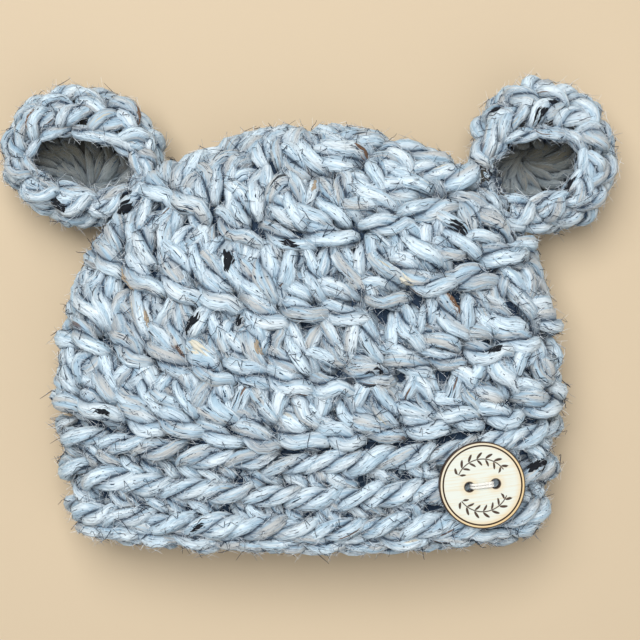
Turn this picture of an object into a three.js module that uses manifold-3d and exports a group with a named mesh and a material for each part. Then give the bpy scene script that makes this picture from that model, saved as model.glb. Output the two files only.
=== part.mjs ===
// A chunky crocheted baby hat with two cupped ears and a wooden button, lying flat on its back.
// Millimetres, +Z up off the surface it lies on, +Y towards the crown's tip, +X to the right of a
// person who looks down on it. It is worked out with y = 0 at the hat's widest round, and moved at
// the end so that the origin lies on the surface, below the middle of the whole outline.
import * as THREE from "three";
import { mergeVertices } from "three/addons/utils/BufferGeometryUtils.js";
import Module from "manifold-3d";

// Sizes of the hat over its ridges, as it lies flattened
const hatHalfWidth = 77; // at the widest round
const hatHeight = 38; // before its underside is pressed flat
const domeLength = 84.5; // from the widest round to the crown's tip
const brimReach = 48; // from the widest round to the brim's edge
const brimHalfWidth = 70.2; // at the brim's edge
const brimHeight = 35; // at the brim's edge, before pressing
const brimSag = 3.5; // how far the brim's edge dips between the side folds
const underPress = 1.6; // how much of the underside lies squashed on the surface
const fabricWall = 8.6; // crocheted wall, from the ridges' tops to its inner side
const bodyRidge = 2.8; // depth of the valley between two rounds of the crown
const brimRidge = 3.4; // depth of the valley between two ribs of the brim
const brimDepth = 31; // ribbed stretch, measured from the brim's edge
const edgeRounding = 4; // rounding of the brim's free edge
const sewingGap = 0.3; // clearance between pieces that are worked or sewn together

// Shapes of the hat's outline and of its cross-section, as powers of superellipses
const leftShoulderPower = 2.05; // seen from above
const rightShoulderPower = 2.3; // the right shoulder is pulled out more by its ear
const domeSidePower = 3; // seen from the side
const sectionPower = 3.2; // across the hat
const brimTaperPower = 1.6;

// Sizes of the ears, each a small crocheted cup sewn to a corner of the crown. An ear sits outwards
// of the crown's outline, at a share of domeLength, and is turned by some degrees.
const earOut = 19;
const earAlong = 0.71;
const earLift = 1.2; // clear of the surface, held by the crown's corner
const earWall = 6.5; // least wall of a cup, at the edge that is sewn on
const earCupDepth = 13.5; // depth of the cup, from its mouth
const leftEarHalfWidth = 24.6;
const leftEarReachUp = 21.8; // from its middle towards the crown's tip
const leftEarReachDown = 21.5; // from its middle towards the brim
const leftEarHeight = 25;
const rightEarHalfWidth = 22;
const rightEarReachUp = 23.6;
const rightEarReachDown = 24.2;
const rightEarHeight = 26;
const ears = {
  ear_left: {
    side: -1,
    halfWidth: leftEarHalfWidth,
    reachUp: leftEarReachUp,
    reachDown: leftEarReachDown,
    height: leftEarHeight,
    turn: -9,
  },
  ear_right: {
    side: 1,
    halfWidth: rightEarHalfWidth,
    reachUp: rightEarReachUp,
    reachDown: rightEarReachDown,
    height: rightEarHeight,
    turn: 20,
  },
};
const earMouth = { width: 0.6, length: 0.46, drop: 0.25 }; // shares of the ear's half sizes

// Sizes of the wooden button and its thread
const buttonRadius = 12.7;
const buttonThickness = 3;
const buttonInset = 26; // its centre, from the hat's side beside it
const buttonUp = 22.6; // its centre, from the brim's edge
const buttonTilt = 4; // degrees, outwards, as the brim slopes there
const buttonSeatMargin = 4; // how far round the button the ribs may carry it
const buttonHoleRadius = 1.35;
const buttonHoleSpacing = 7.8;
const buttonHoleTurn = 7; // degrees, of the line through both holes
const buttonRingRadius = 11.6; // engraved line near the rim
const buttonRingWidth = 0.5;
const buttonRingDepth = 0.5;
const buttonCorner = 0.35; // rounding of the rim's edges
const threadRadius = 0.62;
const threadRise = 0.75; // how high the thread arches over the button, to its middle
const threadBend = 0.7; // how far from a hole the thread turns level

// Fineness of the faceted surfaces
const stepsAround = 48;
const innerSteps = 8;
const innerTipShare = 0.96; // the last inner ring, as a share of a meridian
const meridianSamples = 300;

// Rounds of the crown from the brim up to its tip. length is a share of the crown's meridian.
const crownRounds = [
  { name: "round_5", length: 0.156, ridge: 1 },
  { name: "round_4", length: 0.191, ridge: 1 },
  { name: "round_3", length: 0.212, ridge: 1 },
  { name: "round_2", length: 0.21, ridge: 1 },
  { name: "round_1", length: 0.231, ridge: 0.5 },
];
// A round's own profile from its lower edge up: at is a share of its length, sunk of its valley's depth.
const crownProfile = [
  { at: 0.06, sunk: 0.45 },
  { at: 0.2, sunk: 0 },
  { at: 0.48, sunk: 0.3 },
  { at: 0.84, sunk: 0.5 },
  { at: 1, sunk: 1 },
];
// Three ribs of the brim from its edge up, each a plait with a sunk strip above it
const brimRibs = [
  { name: "rib_3", length: 0.4 },
  { name: "rib_2", length: 0.31 },
  { name: "rib_1", length: 0.29 },
];
const brimProfile = [
  { at: 0.16, sunk: 0.12 },
  { at: 0.38, sunk: 0 },
  { at: 0.62, sunk: 0.2 },
  { at: 0.76, sunk: 1 },
  { at: 0.96, sunk: 1 },
];

// The hat's surface, sunk below its ridges by a depth. along runs from -1 at the brim's edge over
// 0 at the widest round to 1 at the crown's tip, and round is the angle about the hat's long axis.
const superellipse = (share, power) => Math.pow(Math.max(0, 1 - Math.pow(share, power)), 1 / power);
const signedPower = (value, power) => Math.sign(value) * Math.pow(Math.abs(value), power);
const middleZ = hatHeight / 2 - underPress;

function halfWidthAt(along, sunk, side) {
  const power = side < 0 ? leftShoulderPower : rightShoulderPower;
  if (along >= 0) return (hatHalfWidth - sunk) * superellipse(along, power);
  return hatHalfWidth - sunk - (hatHalfWidth - brimHalfWidth) * Math.pow(-along, brimTaperPower);
}

function halfHeightAt(along, sunk) {
  if (along >= 0) return (hatHeight / 2 - sunk) * superellipse(along, domeSidePower);
  return hatHeight / 2 - sunk - ((hatHeight - brimHeight) / 2) * Math.pow(-along, brimTaperPower);
}

function surfacePoint(along, round, sunk) {
  const sideShare = signedPower(Math.cos(round), 2 / sectionPower);
  const topShare = signedPower(Math.sin(round), 2 / sectionPower);
  const reach = along >= 0 ? domeLength - sunk : brimReach - brimSag * sideShare * sideShare;
  return new THREE.Vector3(
    halfWidthAt(along, sunk, sideShare) * sideShare,
    along * reach,
    Math.max(0, middleZ + halfHeightAt(along, sunk) * topShare),
  );
}

// Shares of a line's own length, from samples along it, turned back into its parameter
function evenly(samples, pointAt) {
  let length = 0;
  const table = samples.map((parameter, i) => {
    if (i > 0) length += pointAt(parameter).distanceTo(pointAt(samples[i - 1]));
    return { parameter, length };
  });
  return {
    length,
    at(share) {
      const wanted = share * length;
      const next = Math.max(1, table.findIndex((entry) => entry.length >= wanted - 1e-9));
      const [before, after] = [table[next - 1], table[next]];
      const part = (wanted - before.length) / (after.length - before.length);
      return before.parameter + part * (after.parameter - before.parameter);
    },
  };
}

const spread = (from, to, count) => Array.from({ length: count + 1 }, (_, i) => from + ((to - from) * i) / count);

// Angles that stand evenly spaced round the widest round, each with its own meridian. A round of
// stitches lies at one share of every meridian's length, so it bends up towards the side folds.
const widestRound = evenly(spread(0, 2 * Math.PI, 8 * meridianSamples), (round) => surfacePoint(0, round, 0));
const meridians = spread(0, 1, stepsAround).slice(0, stepsAround).map((share) => {
  const round = widestRound.at(share);
  return { round, line: evenly(spread(-1, 1, meridianSamples), (along) => surfacePoint(along, round, 0)) };
});
const frontMeridian = evenly(spread(-1, 1, meridianSamples), (along) => surfacePoint(along, Math.PI / 2, 0));
const meridianLength = frontMeridian.length;

// One closed ring of points at a distance from the brim's edge, as measured along the front's middle
const hatRing = (distance, sunk) =>
  meridians.map(({ round, line }) => surfacePoint(line.at(distance / meridianLength), round, sunk));

const tipPoint = (sunk) => new THREE.Vector3(0, domeLength - sunk, middleZ);

// A closed mesh through rings of equal numbers of points. With poles, the first and last ring each
// close on one point. Without, the last ring joins the first, as on a sleeve with a thick wall.
function loft(rings, poles) {
  const points = rings.flat();
  const count = rings[0].length;
  const triangles = [];
  const joins = poles ? rings.length - 1 : rings.length;
  for (let ring = 0; ring < joins; ring++) {
    const next = (ring + 1) % rings.length;
    for (let step = 0; step < count; step++) {
      const after = (step + 1) % count;
      const [a, b] = [ring * count + step, ring * count + after];
      const [c, d] = [next * count + step, next * count + after];
      triangles.push(a, b, c, b, d, c);
    }
  }
  if (poles) {
    const first = points.push(poles[0]) - 1;
    const last = points.push(poles[1]) - 1;
    const lastRing = (rings.length - 1) * count;
    for (let step = 0; step < count; step++) {
      const after = (step + 1) % count;
      triangles.push(first, after, step);
      triangles.push(last, lastRing + step, lastRing + after);
    }
  }
  const geometry = new THREE.BufferGeometry().setFromPoints(points);
  geometry.setIndex(triangles);
  return geometry;
}

// Stations of a profile that repeats along a row of rounds, as distances from the brim's edge
function profileStations(rounds, profile, start, length, valley) {
  const stations = [];
  let from = start;
  for (const round of rounds) {
    const reach = round.length * length;
    for (const { at, sunk } of profile) {
      stations.push({ distance: from + at * reach, sunk: sunk * valley * (round.ridge ?? 1) });
    }
    from += reach;
  }
  return stations;
}

const innerRings = (from, to, steps) => spread(from, to, steps).map((distance) => hatRing(distance, fabricWall));

// The crown: one hollow cap of five rounds, with a ridge for each, open towards the brim
const crownLength = meridianLength - brimDepth;
const crownStart = brimDepth + sewingGap / 2;

const crownTipSunk = bodyRidge * crownRounds.at(-1).ridge;

function crownStations() {
  const stations = profileStations(crownRounds, crownProfile, brimDepth, crownLength, bodyRidge);
  stations.pop(); // the tip itself is the pole
  return stations.reverse();
}

function crownGeometry() {
  const outer = [...crownStations(), { distance: crownStart, sunk: bodyRidge }];
  const outerRings = outer.map(({ distance, sunk }) => hatRing(distance, sunk));
  const innerEnd = meridianLength * innerTipShare;
  return loft(
    [...outerRings, ...innerRings(crownStart, innerEnd, innerSteps)],
    [tipPoint(crownTipSunk), tipPoint(fabricWall)],
  );
}

// The brim: a thick band of three plaited ribs, open at both ends
function brimGeometry() {
  const edge = [
    { distance: 0, sunk: fabricWall - edgeRounding },
    { distance: edgeRounding * 0.3, sunk: edgeRounding * 0.25 },
  ];
  const seam = { distance: brimDepth - sewingGap / 2, sunk: brimRidge };
  const ribs = profileStations(brimRibs, brimProfile, 0, brimDepth, brimRidge)
    .filter(({ distance }) => distance > edge[1].distance && distance < seam.distance - sewingGap);
  const outer = [...edge, ...ribs, seam].reverse();
  const outerRings = outer.map(({ distance, sunk }) => hatRing(distance, sunk));
  return loft([...outerRings, ...innerRings(edgeRounding * 0.5, seam.distance, 3)], null);
}

// Solids for cutting one piece by another
const wasm = await Module();
wasm.setup();

function solidOf(geometry) {
  const bare = geometry.clone();
  bare.deleteAttribute("normal");
  bare.deleteAttribute("uv");
  const merged = mergeVertices(bare, 1e-4);
  const mesh = new wasm.Mesh({
    numProp: 3,
    vertProperties: new Float32Array(merged.attributes.position.array),
    triVerts: new Uint32Array(merged.index.array),
  });
  return new wasm.Manifold(mesh);
}

function geometryOf(solid) {
  const mesh = solid.getMesh();
  return new THREE.BufferGeometry()
    .setAttribute("position", new THREE.BufferAttribute(new Float32Array(mesh.vertProperties), 3))
    .setIndex(new THREE.BufferAttribute(new Uint32Array(mesh.triVerts), 1));
}

// The outside of the crown grown by the sewing gap, without its hollow, for trimming the ears
function crownTrimmer() {
  const rings = crownStations().map(({ distance, sunk }) => hatRing(distance, sunk - sewingGap));
  const base = new THREE.Vector3(0, 0, middleZ);
  return solidOf(loft(rings, [tipPoint(crownTipSunk - sewingGap), base]));
}

// A rounded body with its own reach up and down, for an ear and for the hollow of its cup
function roundedBody(halfWidth, reachUp, reachDown, halfHeight, steps) {
  const geometry = new THREE.SphereGeometry(1, steps, steps / 2);
  const position = geometry.attributes.position;
  for (let i = 0; i < position.count; i++) {
    const [x, y, z] = [position.getX(i), position.getY(i), position.getZ(i)];
    position.setXYZ(i, x * halfWidth, y * (y > 0 ? reachUp : reachDown), z * halfHeight);
  }
  return geometry;
}

// Where an ear's middle lies: off the crown's outline, square to it
function earPlace(ear) {
  const outlineAt = (along) =>
    new THREE.Vector2(ear.side * halfWidthAt(along, 0, ear.side), along * domeLength);
  const nudge = 0.01;
  const tangent = outlineAt(earAlong + nudge).sub(outlineAt(earAlong - nudge)).normalize();
  const outward = new THREE.Vector2(ear.side * tangent.y, -ear.side * tangent.x);
  return outlineAt(earAlong).addScaledVector(outward, earOut);
}

// An ear: a thick cup that lies on its back with its mouth up, trimmed where it meets the crown
function earGeometry(ear, trimmer) {
  const halfHeight = ear.height / 2;
  const outer = roundedBody(ear.halfWidth, ear.reachUp, ear.reachDown, halfHeight, 32);
  const mouthHalf = earMouth.length * ear.reachUp;
  const drop = Math.min(earMouth.drop * ear.reachUp, ear.reachDown - earWall - mouthHalf);
  const hollow = roundedBody(earMouth.width * ear.halfWidth, mouthHalf, mouthHalf, earCupDepth, 24);
  hollow.translate(0, -drop, halfHeight);
  const { x, y } = earPlace(ear);
  const place = new THREE.Matrix4()
    .makeRotationZ(THREE.MathUtils.degToRad(ear.turn))
    .setPosition(x, y, halfHeight + earLift);
  outer.applyMatrix4(place);
  hollow.applyMatrix4(place);
  return geometryOf(solidOf(outer).subtract(solidOf(hollow)).subtract(trimmer));
}

// The button: a flat wooden disc with an engraved line near its rim and two holes
function buttonGeometry() {
  const top = buttonThickness;
  const ringInner = buttonRingRadius - buttonRingWidth / 2;
  const ringOuter = buttonRingRadius + buttonRingWidth / 2;
  const profile = [
    [0, 0],
    [buttonRadius - buttonCorner, 0],
    [buttonRadius, buttonCorner],
    [buttonRadius, top - buttonCorner],
    [buttonRadius - buttonCorner, top],
    [ringOuter, top],
    [ringOuter, top - buttonRingDepth],
    [ringInner, top - buttonRingDepth],
    [ringInner, top],
    [0, top],
  ].map(([radius, height]) => new THREE.Vector2(radius, height));
  const disc = new THREE.LatheGeometry(profile, 40);
  disc.rotateX(Math.PI / 2); // the lathe's axis is Y, the button's is Z
  let solid = solidOf(disc);
  for (const side of [-1, 1]) {
    const drill = new THREE.CylinderGeometry(buttonHoleRadius, buttonHoleRadius, 4 * buttonThickness, 20);
    drill.rotateX(Math.PI / 2);
    drill.translate((side * buttonHoleSpacing) / 2, 0, 0);
    solid = solid.subtract(solidOf(drill));
  }
  return geometryOf(solid);
}

// The thread: one thick stitch that arches over the button and goes down through both holes
function threadGeometry(legDepth) {
  const half = buttonHoleSpacing / 2;
  const crest = buttonThickness + threadRise;
  const path = new THREE.CurvePath();
  const corners = [
    [-half, -legDepth],
    [-half, crest - threadBend],
    [-half, crest],
    [-half + threadBend, crest],
    [half - threadBend, crest],
    [half, crest],
    [half, crest - threadBend],
    [half, -legDepth],
  ].map(([x, z]) => new THREE.Vector3(x, 0, z));
  path.add(new THREE.LineCurve3(corners[0], corners[1]));
  path.add(new THREE.QuadraticBezierCurve3(corners[1], corners[2], corners[3]));
  path.add(new THREE.LineCurve3(corners[3], corners[4]));
  path.add(new THREE.QuadraticBezierCurve3(corners[4], corners[5], corners[6]));
  path.add(new THREE.LineCurve3(corners[6], corners[7]));
  const section = new THREE.Shape();
  section.absarc(0, 0, threadRadius, 0, 2 * Math.PI);
  return new THREE.ExtrudeGeometry(section, { steps: 26, curveSegments: 5, extrudePath: path });
}

// Materials, as the photographed yarn, wood and cotton look
const material = (color, roughness) => new THREE.MeshStandardMaterial({ color, roughness, metalness: 0 });
const tweedYarn = material(0xb9c8d2, 0.95);
const birchWood = material(0xf0e2c4, 0.55);
const cotton = material(0xf2f0ea, 0.85);

function mesh(name, geometry, finish) {
  const made = new THREE.Mesh(geometry, finish);
  made.name = name;
  return made;
}

// The hat, put together in the order in which it is made
const hat = new THREE.Group();
const crown = mesh("crown", crownGeometry(), tweedYarn);
const brim = mesh("brim", brimGeometry(), tweedYarn);
hat.add(crown, brim);

const trimmer = crownTrimmer();
for (const [name, ear] of Object.entries(ears)) {
  hat.add(mesh(name, earGeometry(ear, trimmer), tweedYarn));
}

// The button lies on the ribs: the highest brim vertex below its disc carries it.
const buttonSeat = new THREE.Group();
buttonSeat.rotation.set(0, THREE.MathUtils.degToRad(buttonTilt), 0);
const sideByButton = halfWidthAt(buttonUp / brimReach - 1, 0, 1);
buttonSeat.position.set(sideByButton - buttonInset, buttonUp - brimReach, 0);
buttonSeat.updateMatrixWorld(true);
const toSeat = buttonSeat.matrixWorld.clone().invert();
const brimPosition = brim.geometry.attributes.position;
let seatHeight = 0;
for (let i = 0; i < brimPosition.count; i++) {
  const local = new THREE.Vector3().fromBufferAttribute(brimPosition, i).applyMatrix4(toSeat);
  if (Math.hypot(local.x, local.y) < buttonRadius + buttonSeatMargin) seatHeight = Math.max(seatHeight, local.z);
}
const lift = new THREE.Group();
lift.position.z = seatHeight + sewingGap;
lift.rotation.z = THREE.MathUtils.degToRad(buttonHoleTurn);
buttonSeat.add(lift);
hat.add(buttonSeat);
hat.updateMatrixWorld(true);

// Each leg of the thread reaches down through its hole until it is just clear of the brim.
const down = new THREE.Vector3(0, 0, -1).transformDirection(lift.matrixWorld);
let legDepth = fabricWall;
for (const side of [-1, 1]) {
  for (const [dx, dy] of [[0, 0], [threadRadius, 0], [-threadRadius, 0], [0, threadRadius], [0, -threadRadius]]) {
    const above = new THREE.Vector3((side * buttonHoleSpacing) / 2 + dx, dy, 0).applyMatrix4(lift.matrixWorld);
    const hit = new THREE.Raycaster(above, down).intersectObject(brim)[0];
    if (hit) legDepth = Math.min(legDepth, hit.distance - sewingGap);
  }
}
lift.add(mesh("button", buttonGeometry(), birchWood));
lift.add(mesh("button_thread", threadGeometry(legDepth), cotton));

hat.updateMatrixWorld(true);
const outline = new THREE.Box3().setFromObject(hat, true);
const middle = outline.getCenter(new THREE.Vector3());
hat.position.set(-middle.x, -middle.y, -outline.min.z);

export default hat;
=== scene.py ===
# Crocheted baby hat with two cupped ears and a wooden button, lying flat as it is photographed.
# Metres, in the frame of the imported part: +Z up, +Y towards the crown's tip, +X to the right.
import math

import bmesh
import bpy
import numpy as np
from mathutils import Euler, Matrix, Vector


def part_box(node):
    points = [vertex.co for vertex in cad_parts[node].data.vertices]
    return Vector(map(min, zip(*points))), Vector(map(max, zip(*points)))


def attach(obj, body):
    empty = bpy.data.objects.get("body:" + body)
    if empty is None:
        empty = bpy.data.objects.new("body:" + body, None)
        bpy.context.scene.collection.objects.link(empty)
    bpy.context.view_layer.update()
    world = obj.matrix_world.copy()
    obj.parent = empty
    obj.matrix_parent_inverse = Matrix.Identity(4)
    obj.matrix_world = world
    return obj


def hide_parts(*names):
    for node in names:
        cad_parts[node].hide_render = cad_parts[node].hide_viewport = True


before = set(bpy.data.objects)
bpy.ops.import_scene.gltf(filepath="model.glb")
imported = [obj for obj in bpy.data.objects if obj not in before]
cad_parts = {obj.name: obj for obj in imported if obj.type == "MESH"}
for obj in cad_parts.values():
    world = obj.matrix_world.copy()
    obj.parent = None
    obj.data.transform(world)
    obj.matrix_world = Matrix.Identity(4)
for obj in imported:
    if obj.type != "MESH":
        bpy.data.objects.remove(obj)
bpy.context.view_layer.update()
mm = 0.001


# The hat's form
# The hat is a tube of super bulky wool crochet, worked in rounds and closed at the crown's tip. It
# lies on its back, flattened to a low oval, and its underside is pressed flat by its own weight.
crown_low, crown_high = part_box("crown")
brim_low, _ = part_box("brim")
hat_half_width = 77 * mm
hat_height = 38 * mm
brim_half_width = 70.2 * mm
brim_height = 35 * mm
brim_reach = 48 * mm
brim_sag = 3.5 * mm
brim_depth = 31 * mm
under_press = 1.6 * mm
left_shoulder_power = 2.05
right_shoulder_power = 2.3
dome_side_power = 3
section_power = 3.2
brim_taper_power = 1.6
hat_middle_x = (crown_low[0] + crown_high[0]) / 2
widest_y = brim_low[1] + brim_reach
tip_sunk = 1.4 * mm
tip_sink = 2.6 * mm
tip_sink_from = 0.6
tip_sink_over = 0.35
stitches_sunk = 4 * mm
dome_length = crown_high[1] + tip_sunk - widest_y
middle_z = hat_height / 2 - under_press


def superellipse(share, power):
    return np.maximum(0, 1 - np.abs(share) ** power) ** (1 / power)


def hat_points(along, angle, sunk):
    """Points of the hat: along is -1 at the brim's edge, 0 at its widest and 1 at the crown's tip."""
    side = np.sign(np.cos(angle)) * np.abs(np.cos(angle)) ** (2 / section_power)
    top = np.sign(np.sin(angle)) * np.abs(np.sin(angle)) ** (2 / section_power)
    dome = np.clip(along, 0, 1)
    skirt = np.clip(-along, 0, 1) ** brim_taper_power
    left_shoulder = superellipse(dome, left_shoulder_power)
    right_shoulder = superellipse(dome, right_shoulder_power)
    shoulder = np.where(side < 0, left_shoulder, right_shoulder)
    half_width = (hat_half_width - sunk - (hat_half_width - brim_half_width) * skirt) * shoulder
    half_height = hat_height / 2 - sunk - (hat_height - brim_height) / 2 * skirt
    half_height = half_height * superellipse(dome, dome_side_power)
    reach = np.where(along > 0, dome_length - sunk, brim_reach - brim_sag * side ** 2)
    return np.stack([
        hat_middle_x + half_width * side,
        widest_y + along * reach,
        middle_z + half_height * top,
    ], axis=-1)


def with_normals(points):
    """A cloth surface: a grid of points whose columns close round it, with a normal at each."""
    across = np.roll(points, -1, axis=1) - np.roll(points, 1, axis=1)
    normals = np.cross(across, np.gradient(points, axis=0))
    lengths = np.linalg.norm(normals, axis=-1, keepdims=True)
    normals = normals / np.maximum(lengths, 1e-12)
    for end, beside in ((0, 1), (-1, -2)):
        if lengths[end].max() < 1e-9:
            pole = normals[beside].mean(axis=0)
            normals[end] = pole / np.linalg.norm(pole)
    return points, normals


def distance_along(line):
    """How far each point of a line is from its start."""
    steps = np.linalg.norm(np.diff(line, axis=0), axis=1)
    return np.concatenate([[0], np.cumsum(steps)])


def evenly_round(ring, columns):
    """The points of a closed ring, spread evenly over its length."""
    closed = np.vstack([ring, ring[:1]])
    distance = distance_along(closed)
    wanted = np.arange(columns) / columns * distance[-1]
    return np.stack([np.interp(wanted, distance, closed[:, axis]) for axis in range(3)], axis=-1)


def hat_surface(sunk, rows=200, columns=640):
    """The hat sunk below its ridges. Columns start at the left fold and run over the upper side."""
    angles = math.pi - 2 * math.pi * np.arange(columns) / columns
    along = np.linspace(-1, 1, 500)
    shares = np.linspace(0, 1, rows + 1)
    grid = np.zeros((rows + 1, columns, 3))
    for column, angle in enumerate(angles):
        line = hat_points(along, np.full_like(along, angle), 0)
        distance = distance_along(line)
        at = np.interp(shares, distance / distance[-1], along)
        to_tip = np.clip((at - tip_sink_from) / tip_sink_over, 0, 1)
        grid[:, column] = hat_points(at, np.full_like(at, angle), sunk + tip_sink * to_tip ** 2)
    return with_normals(np.stack([evenly_round(ring, columns) for ring in grid]))


def on_cloth(surface, around, up, out):
    """Points and normals of a cloth surface: around and up run from 0 to 1, out is off the surface."""
    points, normals = surface
    rows, columns = points.shape[0] - 1, points.shape[1]
    column = (around % 1) * columns
    left = np.floor(column).astype(int) % columns
    right = (left + 1) % columns
    part = (column - np.floor(column))[..., None]
    inside = np.clip(up, 0, 1)
    row = inside * rows
    below = np.minimum(np.floor(row).astype(int), rows - 1)
    rise = (row - below)[..., None]
    low = points[below, left] * (1 - part) + points[below, right] * part
    high = points[below + 1, left] * (1 - part) + points[below + 1, right] * part
    low_normal = normals[below, left] * (1 - part) + normals[below, right] * part
    high_normal = normals[below + 1, left] * (1 - part) + normals[below + 1, right] * part
    normal = low_normal * (1 - rise) + high_normal * rise
    normal /= np.maximum(np.linalg.norm(normal, axis=-1, keepdims=True), 1e-12)
    beyond = (up - inside)[..., None] * (high - low) * rows
    return low * (1 - rise) + high * rise + beyond + normal * out[..., None], normal


hat_cloth = hat_surface(stitches_sunk)
front_line = hat_cloth[0][:, hat_cloth[0].shape[1] // 4]
hat_length = np.linalg.norm(np.diff(front_line, axis=0), axis=1).sum()


def ring_length(surface, up):
    """How long the hat is round, at a height of up."""
    row = surface[0][int(round(up * (surface[0].shape[0] - 1)))]
    return np.linalg.norm(row - np.roll(row, -1, axis=0), axis=1).sum()


# The yarn
# Super bulky tweed wool, two soft plies twisted together. The wool is a pale blue-grey, with dark
# hairs, black, brown and cream flecks carded in, and a halo of fine loose fibres.
yarn_light = (0.71, 0.84, 0.92)
yarn_pale = (0.73, 0.82, 0.87)
yarn_middle = (0.42, 0.57, 0.68)
yarn_warm = (0.52, 0.53, 0.52)
# A darker blue for fine streaks in the yarn, and the painted shade on the sides of its plies towards their
# creases
yarn_shade = (0.11, 0.21, 0.32)
yarn_hair = (0.016, 0.036, 0.066)
fleck_black = (0.012, 0.014, 0.018)
fleck_brown = (0.16, 0.095, 0.060)
fleck_tan = (0.37, 0.30, 0.22)
fleck_cream = (0.64, 0.61, 0.51)
# The fabric's colours and the crevices' are painted shade, for the dark gaps and creases deep between the
# strands
fabric_light = (0.028, 0.050, 0.082)
crevice_painted_shade = (0.004, 0.016, 0.040)
# Warm painted shade for the strands inside the ears, and a darker one for their creases
ear_shade = (0.066, 0.057, 0.034)
ear_crevice_painted_shade = (0.010, 0.009, 0.006)


def node(tree, kind, **settings):
    """A shader node with settings of its own."""
    made = tree.nodes.new(kind)
    for key, value in settings.items():
        setattr(made, key, value)
    return made


def sums(tree, operation, first, second=None):
    """One step of arithmetic on sockets or numbers."""
    made = node(tree, "ShaderNodeMath", operation=operation)
    for socket, value in zip(made.inputs, (first, second)):
        if isinstance(value, (int, float)):
            socket.default_value = value
        elif value is not None:
            tree.links.new(value, socket)
    return made.outputs[0]


streak_sockets = {"Stretch": 0.1, "Fineness": 1, "Detail": 3, "Low": 0.4, "High": 0.6, "Shift": 0}


def fibre_group():
    """Streaks along a ply, from its own UV map: length in millimetres by share of its girth."""
    tree = bpy.data.node_groups.new("fibre_streaks", "ShaderNodeTree")
    for name, value in streak_sockets.items():
        socket = tree.interface.new_socket(name, in_out="INPUT", socket_type="NodeSocketFloat")
        socket.default_value = value
    tree.interface.new_socket("Mask", in_out="OUTPUT", socket_type="NodeSocketFloat")
    given = node(tree, "NodeGroupInput").outputs
    leave = node(tree, "NodeGroupOutput")
    place = node(tree, "ShaderNodeUVMap", uv_map="ply")
    split = node(tree, "ShaderNodeSeparateXYZ")
    tree.links.new(place.outputs["UV"], split.inputs[0])
    length = sums(tree, "MULTIPLY", split.outputs["X"], given["Stretch"])
    turn = sums(tree, "MULTIPLY", split.outputs["Y"], 2 * math.pi)
    join = node(tree, "ShaderNodeCombineXYZ")
    tree.links.new(sums(tree, "ADD", length, given["Shift"]), join.inputs["X"])
    tree.links.new(sums(tree, "MULTIPLY", sums(tree, "COSINE", turn), given["Fineness"]), join.inputs["Y"])
    tree.links.new(sums(tree, "MULTIPLY", sums(tree, "SINE", turn), given["Fineness"]), join.inputs["Z"])
    noise = node(tree, "ShaderNodeTexNoise")
    noise.inputs["Scale"].default_value = 1
    tree.links.new(join.outputs[0], noise.inputs["Vector"])
    tree.links.new(given["Detail"], noise.inputs["Detail"])
    ramp = node(tree, "ShaderNodeMapRange", interpolation_type="SMOOTHSTEP")
    tree.links.new(noise.outputs["Fac"], ramp.inputs["Value"])
    tree.links.new(given["Low"], ramp.inputs["From Min"])
    tree.links.new(given["High"], ramp.inputs["From Max"])
    tree.links.new(ramp.outputs[0], leave.inputs["Mask"])
    return tree


fibre_streaks = fibre_group()


def streaks(tree, stretch, fineness, detail, low, high, shift):
    made = node(tree, "ShaderNodeGroup", node_tree=fibre_streaks)
    for name, value in zip(streak_sockets, (stretch, fineness, detail, low, high, shift)):
        made.inputs[name].default_value = value
    return made.outputs["Mask"]


def mixed(tree, mask, under, over):
    """One colour laid over another where the mask is 1. Either may be a socket or a colour."""
    mix = node(tree, "ShaderNodeMix", data_type="RGBA")
    tree.links.new(mask, mix.inputs["Factor"])
    for socket, value in ((mix.inputs["A"], under), (mix.inputs["B"], over)):
        if isinstance(value, tuple):
            socket.default_value = (*value, 1)
        else:
            tree.links.new(value, socket)
    return mix.outputs["Result"]


def smooth_step(tree, value, low, high, most=1):
    """A mask that goes smoothly from 0 where the value is low to most where it is high."""
    ramp = node(tree, "ShaderNodeMapRange", interpolation_type="SMOOTHSTEP")
    ramp.inputs["From Min"].default_value = low
    ramp.inputs["From Max"].default_value = high
    ramp.inputs["To Max"].default_value = most
    tree.links.new(value, ramp.inputs["Value"])
    return ramp.outputs[0]


def raised(tree, height, strength, depth, over=None):
    """A normal that stands out where a mask does, over another one if that is given."""
    bump = node(tree, "ShaderNodeBump")
    bump.inputs["Strength"].default_value = strength
    bump.inputs["Distance"].default_value = depth
    tree.links.new(height, bump.inputs["Height"])
    if over:
        tree.links.new(over, bump.inputs["Normal"])
    return bump.outputs["Normal"]


def new_material(name, finish):
    """A material, its nodes, and its shader, whose own sockets take the finish."""
    made = bpy.data.materials.new(name)
    made.use_nodes = True
    shader = made.node_tree.nodes["Principled BSDF"]
    for socket, value in finish.items():
        shader.inputs[socket].default_value = value
    return made, made.node_tree, shader


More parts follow.
